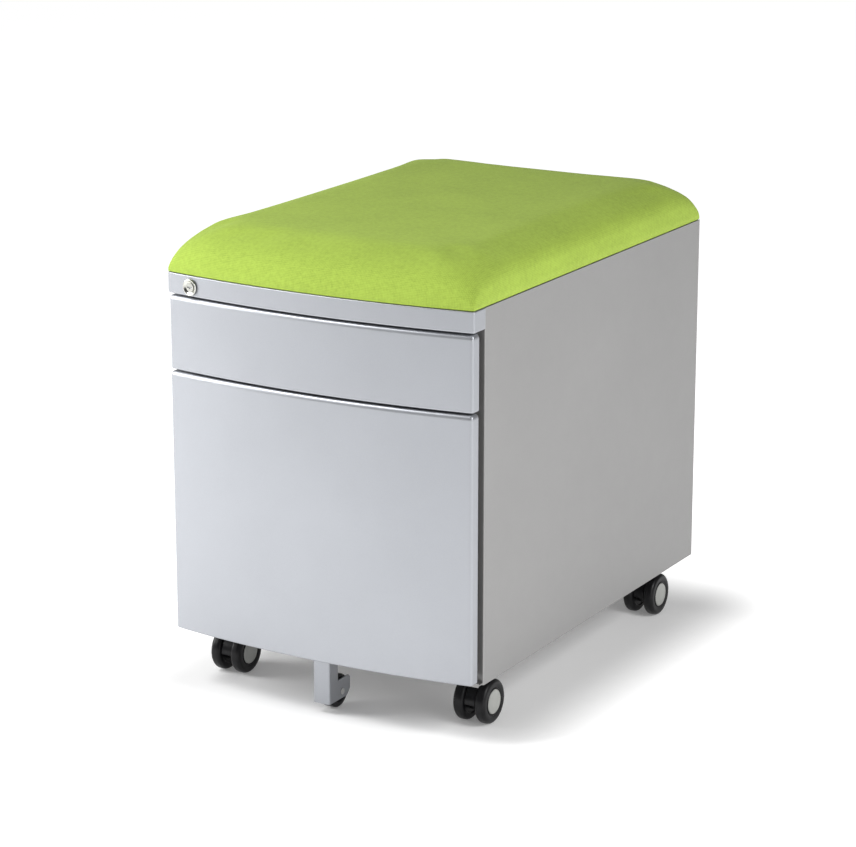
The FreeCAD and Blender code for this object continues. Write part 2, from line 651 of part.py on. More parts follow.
# ---- all nodes
def case_nodes():
    right = right_side_panel()
    return {
        "left_side_panel": mirrored(right),
        "right_side_panel": right,
        "back_panel": back_panel(),
        "top_panel": top_panel(),
        "base_pan": base_pan(),
        "front_rail": front_rail(),
        "slide_uprights": slide_uprights(),
        "caster_channels": caster_channels(),
        "caster_stems": caster_stems(),
        "seat_board": seat_board(),
        "seat_cushion": seat_cushion(),
        "seat_screws": seat_screws(),
    }


def lock_nodes():
    return {
        "lock_barrel": lock_barrel(),
        "lock_nut": lock_nut(),
        "lock_plug": lock_plug(),
        "lock_cam": lock_cam(),
        "lock_bar": lock_bar(),
        "lock_bar_guides": lock_bar_guides(),
    }


def drawer_nodes():
    box_front = front_shell(FRONT_HALF, Y_RETURN + BOX_FRONT_SETBACK, BOX_FRONT_Z,
                            BOX_FRONT_SETBACK, FRONT_EDGE_RADIUS)
    file_front = front_shell(FRONT_HALF, Y_RETURN, FILE_FRONT_Z, 0.0, FRONT_EDGE_RADIUS)
    box_tray = drawer_tray(BOX_TRAY_Z, BOX_TRAY_END, BOX_HOOK_Z + CATCH_LEAD)
    file_tray = drawer_tray(FILE_TRAY_Z, FILE_TRAY_END, FILE_HOOK_Z + CATCH_LEAD)
    box_liner = drawer_liner(BOX_FRONT_Z, BOX_FRONT_SETBACK)
    file_liner = drawer_liner(FILE_FRONT_Z, 0.0)
    return {
        "box_drawer_front": box_front,
        "box_drawer_liner": drill_for_tray(box_liner, BOX_TRAY_Z),
        "box_drawer_tray": drill_for_tray(box_tray, BOX_TRAY_Z),
        "box_drawer_screws": Part.makeCompound(tray_screws(BOX_TRAY_Z)),
        "file_drawer_front": drill_for_bracket(file_front),
        "file_drawer_liner": drill_for_tray(file_liner, FILE_TRAY_Z),
        "file_drawer_tray": drill_for_tray(file_tray, FILE_TRAY_Z),
        "file_drawer_screws": Part.makeCompound(tray_screws(FILE_TRAY_Z) + bracket_screws()),
        "hanging_rails": hanging_rails(),
        "anti_tip_bracket": anti_tip_bracket(),
        "anti_tip_axle": anti_tip_axle(),
        "anti_tip_wheel": anti_tip_wheel(),
    }


def slide_nodes():
    nodes = {}
    sizes = {
        "box": (BOX_SLIDE_Z, BOX_SLIDE_HEIGHT, BOX_SLIDE_LENGTH),
        "file": (FILE_SLIDE_Z, FILE_SLIDE_HEIGHT, FILE_SLIDE_LENGTH),
    }
    for drawer, (center_z, height, length) in sizes.items():
        outer, middle, inner = slide_members(center_z, height, length)
        nodes[drawer + "_slide_outer_pair"] = outer
        nodes[drawer + "_slide_middle_pair"] = middle
        nodes[drawer + "_slide_inner_pair"] = inner
    return nodes


def caster_nodes():
    nodes = {}
    for corner, (x, y) in SWIVELS.items():
        name = "caster_" + corner
        nodes[name + "_housing"] = caster_housing(x, y)
        nodes[name + "_axle"] = caster_axle(x, y)
        for hand, side in (("left", -1), ("right", 1)):
            nodes[name + "_" + hand + "_wheel"] = caster_wheel(x, y, side)
            nodes[name + "_" + hand + "_cap"] = caster_cap(x, y, side)
    return nodes


def main():
    os.makedirs("parts", exist_ok=True)
    nodes = {}
    for group in (case_nodes(), lock_nodes(), drawer_nodes(), slide_nodes(), caster_nodes()):
        nodes.update(group)
    for name, shape in nodes.items():
        shape.exportStep("parts/" + name + ".step")
        print(name, len(shape.Solids), shape.isValid(), round(shape.Volume))


main()
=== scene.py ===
import json
import math

import bmesh
import bpy
from mathutils import Matrix, Vector


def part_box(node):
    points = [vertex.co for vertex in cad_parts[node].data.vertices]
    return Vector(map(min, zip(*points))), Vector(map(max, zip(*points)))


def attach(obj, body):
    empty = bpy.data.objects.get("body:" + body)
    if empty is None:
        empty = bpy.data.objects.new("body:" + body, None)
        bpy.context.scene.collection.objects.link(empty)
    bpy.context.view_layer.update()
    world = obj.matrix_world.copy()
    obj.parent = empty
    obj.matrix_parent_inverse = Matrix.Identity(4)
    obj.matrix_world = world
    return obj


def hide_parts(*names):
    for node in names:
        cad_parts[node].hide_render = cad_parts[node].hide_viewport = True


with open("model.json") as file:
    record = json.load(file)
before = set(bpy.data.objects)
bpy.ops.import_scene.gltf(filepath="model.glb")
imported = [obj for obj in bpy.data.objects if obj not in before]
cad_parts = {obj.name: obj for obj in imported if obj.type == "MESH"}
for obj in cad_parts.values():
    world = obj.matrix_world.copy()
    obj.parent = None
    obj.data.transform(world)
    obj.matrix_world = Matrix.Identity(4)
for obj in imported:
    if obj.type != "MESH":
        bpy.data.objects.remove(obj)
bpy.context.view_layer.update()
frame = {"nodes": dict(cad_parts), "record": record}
MM = 0.001


# ---- sizes and places, read from the frame
RAIL_LOW, RAIL_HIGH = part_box("front_rail")
HALF = RAIL_HIGH.x
Y_FRONT = RAIL_LOW.y
Y_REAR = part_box("right_side_panel")[1].y
BOW = 16 * MM                    # how far the fronts bow out in the middle
BOW_RADIUS = (HALF ** 2 + BOW ** 2) / (2 * BOW)
SHEET = 1.2 * MM                 # thickness of the folded steel
CORNERS = ("front_left", "front_right", "rear_left", "rear_right")


# ================================================================ materials
class Shader:
    """A principled material with short calls for the nodes round it."""

    def __init__(self, name, **sockets):
        self.material = bpy.data.materials.new(name)
        self.material.use_nodes = True
        self.tree = self.material.node_tree
        self.bsdf = self.tree.nodes["Principled BSDF"]
        for socket, value in sockets.items():
            self.bsdf.inputs[socket.replace("_", " ")].default_value = value
        self.place = self.node("ShaderNodeTexCoord").outputs["Object"]

    def node(self, kind, **settings):
        made = self.tree.nodes.new(kind)
        for key, value in settings.items():
            setattr(made, key, value)
        return made

    def link(self, output, socket):
        self.tree.links.new(output, socket)

    def feed(self, socket, value):
        if isinstance(value, bpy.types.NodeSocket):
            self.link(value, socket)
        else:
            socket.default_value = value

    def noise(self, scale, detail=2.0, roughness=0.5, stretch=None):
        texture = self.node("ShaderNodeTexNoise")
        texture.inputs["Scale"].default_value = scale
        texture.inputs["Detail"].default_value = detail
        texture.inputs["Roughness"].default_value = roughness
        self.link(self.stretched(stretch), texture.inputs["Vector"])
        return texture.outputs["Fac"]

    def stretched(self, stretch):
        if stretch is None:
            return self.place
        mapping = self.node("ShaderNodeMapping")
        mapping.inputs["Scale"].default_value = stretch
        self.link(self.place, mapping.inputs["Vector"])
        return mapping.outputs["Vector"]

    def math(self, operation, first, second=0.0, third=0.0):
        made = self.node("ShaderNodeMath", operation=operation)
        for socket, value in zip(made.inputs, (first, second, third)):
            self.feed(socket, value)
        return made.outputs[0]

    def spread(self, value, low, high):
        """Takes 0..1 to low..high."""
        made = self.node("ShaderNodeMapRange")
        self.feed(made.inputs["Value"], value)
        made.inputs["To Min"].default_value = low
        made.inputs["To Max"].default_value = high
        return made.outputs["Result"]

    def colours(self, value, *stops):
        """A colour ramp through (place, colour) stops."""
        ramp = self.node("ShaderNodeValToRGB")
        elements = ramp.color_ramp.elements
        while len(elements) < len(stops):
            elements.new(0.5)
        for element, (place, colour) in zip(elements, stops):
            element.position = place
            element.color = (*colour, 1.0)
        self.feed(ramp.inputs["Fac"], value)
        return ramp.outputs["Color"]

    def bump(self, height, distance, strength, under=None):
        made = self.node("ShaderNodeBump")
        made.inputs["Strength"].default_value = strength
        made.inputs["Distance"].default_value = distance
        self.feed(made.inputs["Height"], height)
        if under is not None:
            self.link(under, made.inputs["Normal"])
        return made.outputs["Normal"]


def shade(colour, factor):
    return tuple(channel * factor for channel in colour)


def powder_coat(name, colour, roughness, metallic):
    """Satin silver powder coat: fine flake in its colour and a slight orange peel."""
    s = Shader(name, Metallic=metallic, Coat_Weight=0.12, Coat_Roughness=0.35)
    flake = s.noise(2600.0, 1.0)
    cloud = s.noise(7.0, 3.0)
    mixed = s.math("MULTIPLY_ADD", cloud, 0.35, s.math("MULTIPLY", flake, 0.65))
    dark, light = shade(colour, 0.93), shade(colour, 1.07)
    s.link(s.colours(mixed, (0.30, dark), (0.52, colour), (0.72, light)), s.bsdf.inputs["Base Color"])
    gloss = s.spread(s.noise(60.0, 3.0), roughness - 0.03, roughness + 0.04)
    s.link(gloss, s.bsdf.inputs["Roughness"])
    peel = s.bump(s.noise(420.0, 2.0), 0.00003, 0.5)
    s.link(peel, s.bsdf.inputs["Normal"])
    return s.material


def moulded_plastic(name, colour, roughness):
    """Moulded plastic: a faint grain and scuffed, uneven gloss."""
    s = Shader(name)
    s.bsdf.inputs["Specular IOR Level"].default_value = 0.26
    cloud = s.noise(35.0, 4.0)
    base = s.colours(cloud, (0.3, shade(colour, 0.85)), (0.7, shade(colour, 1.15)))
    s.link(base, s.bsdf.inputs["Base Color"])
    scuffs = s.spread(s.noise(140.0, 4.0), roughness - 0.07, roughness + 0.09)
    s.link(scuffs, s.bsdf.inputs["Roughness"])
    grain = s.noise(900.0, 2.0)
    s.link(s.bump(grain, 0.00002, 0.5), s.bsdf.inputs["Normal"])
    return s.material


def bare_metal(name, colour, roughness, streak=(1.0, 0.02, 1.0), scale=900.0):
    """Zinc-plated, turned or polished metal with fine streaks along one axis."""
    s = Shader(name, Metallic=1.0)
    grain = s.noise(scale, 3.0, 0.6, streak)
    stain = s.noise(25.0, 3.0)
    mixed = s.math("MULTIPLY_ADD", grain, 0.5, s.math("MULTIPLY", stain, 0.5))
    base = s.colours(mixed, (0.3, shade(colour, 0.86)), (0.7, shade(colour, 1.06)))
    s.link(base, s.bsdf.inputs["Base Color"])
    s.link(s.spread(grain, roughness * 0.8, roughness * 1.25), s.bsdf.inputs["Roughness"])
    s.link(s.bump(grain, 0.00001, 0.4), s.bsdf.inputs["Normal"])
    return s.material


def plywood(name):
    """Raw plywood: thin veneers through its thickness and long grain on its faces."""
    s = Shader(name, Roughness=0.7)
    veneer = s.noise(600.0, 0.0, 0.5, (0.001, 0.001, 1.0))
    grain = s.noise(220.0, 4.0, 0.6, (1.0, 0.05, 1.0))
    mixed = s.math("MULTIPLY_ADD", veneer, 0.5, s.math("MULTIPLY", grain, 0.5))
    base = s.colours(mixed, (0.35, (0.32, 0.20, 0.11)), (0.65, (0.62, 0.46, 0.28)))
    s.link(base, s.bsdf.inputs["Base Color"])
    s.link(s.bump(grain, 0.00008, 0.5), s.bsdf.inputs["Normal"])
    return s.material


def knit_fabric(name, colour):
    """Fine knitted upholstery fabric, patterned along each face by the way that face looks."""
    s = Shader(name, Roughness=0.88, Sheen_Weight=0.12, Sheen_Roughness=0.45)
    s.bsdf.inputs["Sheen Tint"].default_value = (0.90, 1.0, 0.62, 1.0)
    s.bsdf.inputs["Specular IOR Level"].default_value = 0.25
    pitch = 1.7 * MM
    xyz = s.node("ShaderNodeSeparateXYZ")
    s.link(s.place, xyz.inputs[0])
    facing = s.node("ShaderNodeSeparateXYZ")
    s.link(s.node("ShaderNodeTexCoord").outputs["Normal"], facing.inputs[0])
    wobble = s.math("MULTIPLY", s.noise(260.0, 2.0), 0.9 * MM)
    waves = []
    for axis in range(3):
        along = s.math("ADD", xyz.outputs[axis], wobble)
        turn = s.math("MULTIPLY", along, 2 * math.pi / pitch)
        waves.append(s.math("MULTIPLY_ADD", s.math("SINE", turn), 0.5, 0.5))
    total = 0.0
    for axis in range(3):
        first, second = (waves[other] for other in range(3) if other != axis)
        weave = s.math("MULTIPLY", first, second)
        share = s.math("POWER", s.math("ABSOLUTE", facing.outputs[axis]), 2.0)
        total = s.math("MULTIPLY_ADD", weave, share, total)
    fuzz = s.noise(1500.0, 2.0)
    speckle = s.noise(230.0, 2.0, 0.65)
    cloud = s.noise(16.0, 3.0)
    tone = s.math("MULTIPLY_ADD", total, 0.30, s.math("MULTIPLY", fuzz, 0.18))
    tone = s.math("MULTIPLY_ADD", speckle, 0.40, tone)
    tone = s.math("MULTIPLY_ADD", cloud, 0.22, tone)
    base = s.colours(
        tone,
        (0.28, shade(colour, 0.74)),
        (0.50, colour),
        (0.72, shade(colour, 1.16)))
    s.link(base, s.bsdf.inputs["Base Color"])
    threads = s.bump(total, 0.00018, 0.6)
    s.link(s.bump(fuzz, 0.00010, 0.5, threads), s.bsdf.inputs["Normal"])
    return s.material


MATERIALS = {
    "case_paint": powder_coat("silver_case_paint", (0.292, 0.289, 0.287), 0.42, 0.55),
    "front_paint": powder_coat("silver_front_paint", (0.36, 0.372, 0.398), 0.38, 0.68),
    "tray_paint": powder_coat("grey_tray_paint", (0.40, 0.40, 0.41), 0.48, 0.15),
    "zinc_steel": bare_metal("zinc_plated_steel", (0.60, 0.61, 0.62), 0.34),
    "lock_chrome": bare_metal("lock_nickel", (0.58, 0.58, 0.54), 0.20, (1.0, 1.0, 1.0), 400.0),
    "board_wood": plywood("raw_plywood"),
    "seat_fabric": knit_fabric("lime_knit", (0.34, 0.470, 0.066)),
    "axle_steel": bare_metal("turned_steel", (0.68, 0.68, 0.67), 0.25, (0.02, 1.0, 1.0)),
    "wheel_black": moulded_plastic("black_wheel", (0.006, 0.006, 0.007), 0.36),
    "housing_black": moulded_plastic("black_housing", (0.005, 0.005, 0.006), 0.30),
    "cap_grey": moulded_plastic("warm_grey_cap", (0.40, 0.405, 0.385), 0.42),
}


def dress_cad_nodes():
    """Gives every CAD node the material of its slot."""
    for part in frame["record"]["subparts"]:
        mesh = frame["nodes"][part["node"]].data
        mesh.materials.clear()
        mesh.materials.append(MATERIALS[part["material_slot"]])


# ================================================================ mesh helpers
def make_object(name, bm, slot):
    mesh = bpy.data.meshes.new(name)
    bm.to_mesh(mesh)
    bm.free()
    mesh.materials.append(MATERIALS[slot])
    made = bpy.data.objects.new(name, mesh)
    bpy.context.scene.collection.objects.link(made)
    for face in mesh.polygons:
        face.use_smooth = True
    return made


def smooth_by_angle(piece, degrees=35.0):
    """Marks edges sharper than this, so that only the rest is shaded smooth."""
    bm = bmesh.new()
    bm.from_mesh(piece.data)
    for edge in bm.edges:
        sharp = len(edge.link_faces) != 2 or edge.calc_face_angle(0.0) > math.radians(degrees)
        edge.smooth = not sharp
    bm.to_mesh(piece.data)
    bm.free()


def weighted_normals(piece):
    modifier = piece.modifiers.new("even_shading", "WEIGHTED_NORMAL")
    modifier.keep_sharp = True


def bow_y(x, inset=0.0):
    """Where the bowed front stands at x, set back square to its surface by inset."""
    radius = BOW_RADIUS - inset
    return Y_FRONT + BOW_RADIUS - math.sqrt(radius ** 2 - x ** 2)


def arc_points(center, radius, start, stop, steps):
    """Points on an arc in plan, with its angles in radians from +X."""
    points = []
    for step in range(steps + 1):
        angle = start + (stop - start) * step / steps
        points.append((center[0] + radius * math.cos(angle), center[1] + radius * math.sin(angle)))
    return points


CORNER_STEPS = 8
BOW_STEPS = 64
ROLL_STEPS = 8
ROLL_SHARE = 0.98                # of its full inset, so that a round corner never closes to a point


def rolled_outline(half, y_back, setback, corner, inset):
    """Plan of a bowed front with round corners, set in all round by inset."""
    bow_center = Y_FRONT + BOW_RADIUS
    radius = BOW_RADIUS - setback
    corner_x = half - corner
    corner_y = bow_center - math.sqrt((radius - corner) ** 2 - corner_x ** 2)
    lean = math.asin(corner_x / (radius - corner))
    left_end = 1.5 * math.pi - lean
    right_end = 1.5 * math.pi + lean
    left = arc_points((-corner_x, corner_y), corner - inset, math.pi, left_end, CORNER_STEPS)
    bow = arc_points((0.0, bow_center), radius - inset, left_end, right_end, BOW_STEPS)
    right = arc_points((corner_x, corner_y), corner - inset, right_end, 2 * math.pi, CORNER_STEPS)
    return [(-half + inset, y_back)] + left + bow[1:-1] + right + [(half - inset, y_back)]


def roll_levels(low, high, corner, top_roll, foot_roll):
    """(inset, height) of each ring of a front, from its foot up to its top."""
    quarter_turn = [math.pi / 2 * step / ROLL_STEPS for step in range(ROLL_STEPS + 1)]
    foot_inset = min(corner, foot_roll)
    top_inset = min(corner, top_roll)
    levels = []
    for angle in quarter_turn:
        height = low + foot_roll * (1 - math.cos(angle))
        levels.append((foot_inset * (1 - math.sin(angle)), height))
    for angle in quarter_turn:
        height = high - top_roll * (1 - math.sin(angle))
        levels.append((top_inset * (1 - math.cos(angle)), height))
    return levels


def front_shell(name, node, corner, top_roll, foot_roll):
    """A bowed sheet front with rolled edges and folded sides, open behind, in the node's place."""
    low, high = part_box(node)
    setback = low.y - Y_FRONT
    bm = bmesh.new()
    rings = []
    for inset, height in roll_levels(low.z, high.z, corner, top_roll, foot_roll):
        outline = rolled_outline(high.x, high.y, setback, corner, inset * ROLL_SHARE)
        rings.append([bm.verts.new((x, y, height)) for x, y in outline])
    for lower, upper in zip(rings, rings[1:]):
        for index in range(len(lower) - 1):
            bm.faces.new((lower[index], lower[index + 1], upper[index + 1], upper[index]))
    bm.faces.new(reversed(rings[0]))
    bm.faces.new(rings[-1])
    piece = make_object(name, bm, "front_paint")
    smooth_by_angle(piece)
    wall = piece.modifiers.new("sheet", "SOLIDIFY")
    wall.thickness = SHEET
    wall.offset = -1.0
    wall.use_even_offset = False
    weighted_normals(piece)
    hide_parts(node)
    return piece


# ================================================================ fronts
RAIL_EDGES = (3.0 * MM, 1.0 * MM, 1.6 * MM)      # corner radius, top roll, foot roll
DRAWER_EDGES = (4.0 * MM, 5.5 * MM, 1.8 * MM)


def build_fronts():
    rail = front_shell("bowed_rail", "front_rail", *RAIL_EDGES)
    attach(rail, "cabinet")
    for drawer in ("box_drawer", "file_drawer"):
        front = front_shell(drawer + "_skin", drawer + "_front", *DRAWER_EDGES)
        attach(front, drawer)


# ================================================================ turned and moulded pieces
TURN_STEPS = 96


def turned(name, profile, center, axis, slot):
    """A piece turned about an axis: profile is a closed loop of (radius, distance along the axis)."""
    turn = Vector((0.0, 0.0, 1.0)).rotation_difference(Vector(axis)).to_matrix().to_4x4()
    place = Matrix.Translation(center) @ turn
    bm = bmesh.new()
    rings = []
    for radius, along in profile:
        if radius == 0.0:
            rings.append([bm.verts.new(place @ Vector((0.0, 0.0, along)))])
            continue
        ring = []
        for step in range(TURN_STEPS):
            angle = 2 * math.pi * step / TURN_STEPS
            point = Vector((radius * math.cos(angle), radius * math.sin(angle), along))
            ring.append(bm.verts.new(place @ point))
        rings.append(ring)
    for first, second in zip(rings, rings[1:] + rings[:1]):
        if len(first) == 1 and len(second) == 1:
            continue
        for step in range(TURN_STEPS):
            after = (step + 1) % TURN_STEPS
            around = [first[step % len(first)], first[after % len(first)],
                      second[after % len(second)], second[step % len(second)]]
            bm.faces.new(list(dict.fromkeys(around)))
    bmesh.ops.recalc_face_normals(bm, faces=bm.faces)
    piece = make_object(name, bm, slot)
    smooth_by_angle(piece, 38.0)
    weighted_normals(piece)
    return piece


def quarter(center, radius, start, steps=7):
    """A quarter circle in a profile, from start degrees on."""
    return arc_points(center, radius, math.radians(start), math.radians(start + 90), steps)


def in_metres(profile):
    return [(radius * MM, along * MM) for radius, along in profile]


def caster_wheel_profile(radius, width, cap_radius):
    """Wheel with round shoulders, a raised ring round the cap and a dished inner face, in mm."""
    shoulder = 4.6
    bore = 3.2
    dish = 1.2
    cap_floor = width - 2.0
    lip = cap_radius + 0.5
    inner = [(bore, dish), (radius - 8.5, dish), (radius - 7.0, 0.0)]
    tread = quarter((radius - shoulder, shoulder), shoulder, -90) + [(radius, width / 2)]
    tread += quarter((radius - shoulder, width - shoulder), shoulder, 0)
    groove = [(lip + 3.2, width - 0.1), (lip + 2.4, width - 0.7), (lip + 1.6, width - 0.7)]
    ring = [(lip + 0.9, width), (lip + 0.2, width), (lip, width - 0.3)]
    recess = [(lip, cap_floor), (bore, cap_floor)]
    return in_metres(inner + tread + groove + ring + recess)


def cap_profile(radius, face):
    """Slightly domed cap with one shallow groove in it, in mm."""
    back = face - 3.0
    dome = [(0.0, face), (radius * 0.45, face - 0.08), (radius * 0.68, face - 0.22)]
    groove = [(radius * 0.71, face - 0.5), (radius * 0.74, face - 0.28)]
    edge = [(radius - 1.2, face - 0.55), (radius - 0.5, face - 0.85), (radius, face - 1.4)]
    return in_metres(dome + groove + edge + [(radius, back), (0.0, back)])


def build_caster_wheels():
    for corner in CORNERS:
        for side, outward in (("left", -1.0), ("right", 1.0)):
            body = f"caster_{corner}_{side}_wheel"
            cap_node = f"caster_{corner}_{side}_cap"
            low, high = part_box(body)
            cap_low, cap_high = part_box(cap_node)
            middle = (low + high) / 2
            inner_x = low.x if outward > 0 else high.x
            start = Vector((inner_x, middle.y, middle.z))
            radius = (high.z - low.z) / 2 / MM
            width = (high.x - low.x) / MM
            cap_radius = (cap_high.z - cap_low.z) / 2 / MM
            face = max(abs(cap_low.x - inner_x), abs(cap_high.x - inner_x)) / MM
            axis = (outward, 0.0, 0.0)
            profile = caster_wheel_profile(radius, width, cap_radius)
            wheel = turned(body + "_tyre", profile, start, axis, "wheel_black")
            cap = turned(cap_node + "_disc", cap_profile(cap_radius, face), start, axis, "cap_grey")
            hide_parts(body)
            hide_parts(cap_node)
            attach(wheel, body)
            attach(cap, body)


def build_stabilising_wheel():
    low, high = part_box("anti_tip_wheel")
    middle = (low + high) / 2
    radius = (high.z - low.z) / 2 / MM
    width = (high.x - low.x) / MM
    shoulder = 2.6
    bore = 3.0
    dish = 1.6
    dish_radius = radius * 0.62
    face_radius = radius * 0.70
    near = [(bore, dish), (dish_radius, dish), (face_radius, 0.0)]
    tread = quarter((radius - shoulder, shoulder), shoulder, -90)
    tread += quarter((radius - shoulder, width - shoulder), shoulder, 0)
    far = [(face_radius, width), (dish_radius, width - dish), (bore, width - dish)]
    profile = in_metres(near + tread + far)
    start = Vector((low.x, middle.y, middle.z))
    wheel = turned("stabilising_tyre", profile, start, (1.0, 0.0, 0.0), "wheel_black")
    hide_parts("anti_tip_wheel")
    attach(wheel, "anti_tip_wheel")


def build_lock_bezel():
    """Nickel bezel: a rounded flange standing off the rail on a narrower collar, dished to the plug."""
    joints = frame["record"]["behaviour"]["joints"]
    joint = next(item for item in joints if item["name"] == "lock_turn")
    outward = -Vector(joint["axis"])
    bore, body, collar, flange = 5.15, 7.0, 8.0, 9.4
    back, rail_face, flange_back = -20.0, -0.3, 0.8
    shank = [(bore, back), (body, back), (body, rail_face), (collar, rail_face), (collar, flange_back)]
    edge = [(flange - 0.2, flange_back), (flange, 1.1), (flange, 1.6), (flange - 0.3, 2.1)]
    face = [(flange - 0.9, 2.3), (flange - 1.6, 2.2), (7.2, 1.7), (6.6, 0.9)]
    mouth = [(bore + 0.6, 0.6), (bore, 0.2)]
    profile = in_metres(shank + edge + face + mouth)
    bezel = turned("lock_bezel", profile, Vector(joint["pos_m"]), outward, "lock_chrome")
    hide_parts("lock_barrel")
    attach(bezel, "cabinet")


def softened(node, body, width):
    """A copy of a CAD node with its sharp edges slightly rounded."""
    source = frame["nodes"][node]
    bm = bmesh.new()
    bm.from_mesh(source.data)
    bm.transform(source.matrix_world)
    bmesh.ops.remove_doubles(bm, verts=bm.verts, dist=0.00001)
    bmesh.ops.dissolve_limit(bm, angle_limit=math.radians(1.0), verts=bm.verts, edges=bm.edges)
    part = next(item for item in frame["record"]["subparts"] if item["node"] == node)
    piece = make_object(node + "_moulded", bm, part["material_slot"])
    smooth_by_angle(piece, 30.0)
    edge = piece.modifiers.new("soft_edges", "BEVEL")
    edge.width = width
    edge.segments = 3
    edge.limit_method = "ANGLE"
    edge.angle_limit = math.radians(32.0)
    weighted_normals(piece)
    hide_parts(node)
    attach(piece, body)


HOUSING_ROUND = 0.8 * MM
BRACKET_ROUND = 0.35 * MM


def build_small_pieces():
    build_caster_wheels()
    build_stabilising_wheel()
    build_lock_bezel()
    for corner in CORNERS:
        softened(f"caster_{corner}_housing", f"caster_{corner}", HOUSING_ROUND)
    softened("anti_tip_bracket", "file_drawer", BRACKET_ROUND)


# ================================================================ seat
SEAT_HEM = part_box("seat_cushion")[0].z
SEAT_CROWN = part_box("seat_cushion")[1].z
SEAT_SIDE = (57 * MM, 0.56)      # how far in from the edge it is round, and how full (1 is round)
SEAT_FRONT = (77 * MM, 0.645)
SEAT_REAR = (74 * MM, 0.56)
SEAT_UPRIGHT = 1.0 * MM          # how far its edges rise square above the hem
SEAT_RISE_LEFT = 1.5 * MM        # height that the filling makes up
SEAT_SWELL = 2.0 * MM            # how far the filling may push the fabric out
SEAT_SKIRT = 9 * MM              # how far the pad first runs on below its hem
SEAT_SPARE = 1.5 * MM            # how far its sides first stand out past the case
SEAT_HELD = 4 * MM               # fabric less than this above the hem is held still
SEAT_MESH = 5 * MM
SIDE_STEPS, END_STEPS = 16, 20   # steps over each round edge
ACROSS_STEPS, ALONG_STEPS = 32, 40
FOAM_FRAMES = 20
HEM_ROLL_HEIGHT = 5 * MM
HEM_ROLL_DEPTH = 1.1 * MM


def edge_steps(reach, power, count):
    """(distance in from the edge, share of full height) from the pad's edge up to its flat."""
    steps = []
    for step in range(count + 1):
        angle = step / count * math.pi / 2
        steps.append((reach * (1 - math.cos(angle)), math.sin(angle) ** power))
    return steps


def seat_start_mesh():
    """A closed pad a little under its full size, with a skirt that is trimmed off later."""
    side = edge_steps(*SEAT_SIDE, SIDE_STEPS)
    front = edge_steps(*SEAT_FRONT, END_STEPS)
    rear = edge_steps(*SEAT_REAR, END_STEPS)
    half = HALF + SEAT_SPARE
    foot = SEAT_HEM + SEAT_UPRIGHT
    rise = SEAT_CROWN - foot - SEAT_RISE_LEFT
    flat = half - side[-1][0]
    columns = [(-half + inward, share) for inward, share in side]
    columns += [(flat * (2 * step / ACROSS_STEPS - 1), 1.0) for step in range(1, ACROSS_STEPS)]
    columns += [(half - inward, share) for inward, share in reversed(side)]
    bm = bmesh.new()
    grid = []
    end = Y_REAR + SEAT_SPARE
    for x, side_share in columns:
        start = bow_y(x, -SEAT_SPARE)
        rows = [(start + inward, share) for inward, share in front]
        first, last = rows[-1][0], end - rear[-1][0]
        rows += [(first + (last - first) * step / ALONG_STEPS, 1.0) for step in range(1, ALONG_STEPS)]
        rows += [(end - inward, share) for inward, share in reversed(rear)]
        grid.append([bm.verts.new((x, y, foot + rise * side_share * share)) for y, share in rows])
    for column, beside in zip(grid, grid[1:]):
        for index in range(len(column) - 1):
            bm.faces.new((column[index], beside[index], beside[index + 1], column[index + 1]))
    rim = [column[0] for column in grid] + grid[-1][1:]
    rim += [column[-1] for column in reversed(grid[:-1])] + grid[0][-2:0:-1]
    low = SEAT_HEM - SEAT_SKIRT
    foot_rim = [bm.verts.new((vertex.co.x, vertex.co.y, low)) for vertex in rim]
    for index in range(len(rim)):
        bm.faces.new((rim[index - 1], foot_rim[index - 1], foot_rim[index], rim[index]))
    bm.faces.new(foot_rim)
    bmesh.ops.recalc_face_normals(bm, faces=bm.faces)
    return bm


def apply_modifier(piece, modifier):
    bpy.context.view_layer.objects.active = piece
    with bpy.context.temp_override(object=piece, active_object=piece):
        bpy.ops.object.modifier_apply(modifier=modifier.name)


def fill_with_foam(piece):
    """Blows the pad up against its own fabric, then takes the result as its shape."""
    start = [vertex.co.copy() for vertex in piece.data.vertices]
    held = piece.vertex_groups.new(name="held")
    for vertex in piece.data.vertices:
        if vertex.co.z < SEAT_HEM + SEAT_HELD:
            held.add([vertex.index], 1.0, "REPLACE")
    cloth = piece.modifiers.new("filling", "CLOTH")
    settings = cloth.settings
    settings.vertex_group_mass = "held"
    settings.use_pressure = True
    settings.uniform_pressure_force = 4.0
    settings.tension_stiffness = 15.0
    settings.compression_stiffness = 2.0
    settings.shear_stiffness = 2.0
    settings.bending_stiffness = 20.0
    settings.effector_weights.gravity = 0.0
    cloth.point_cache.frame_start = 1
    cloth.point_cache.frame_end = FOAM_FRAMES
    scene = bpy.context.scene
    for number in range(1, FOAM_FRAMES + 1):
        scene.frame_set(number)
    apply_modifier(piece, cloth)
    scene.frame_set(1)
    for vertex, before in zip(piece.data.vertices, start):
        move = vertex.co - before
        if move.length > SEAT_SWELL:
            vertex.co = before + move.normalized() * SEAT_SWELL


def keep_over_case(piece):
    """Keeps the pad's sides flush with the case, and rolls its hem in a little."""
    middle = (Y_FRONT + Y_REAR) / 2
    for vertex in piece.data.vertices:
        co = vertex.co
        share = max(0.0, 1 - abs(co.z - SEAT_HEM) / HEM_ROLL_HEIGHT)
        inward = HEM_ROLL_DEPTH * share ** 2
        half = HALF - inward
        co.x = max(-half, min(half, co.x))
        if co.y < middle:
            co.y = max(co.y, bow_y(co.x, inward))
        else:
            co.y = min(co.y, Y_REAR - inward)


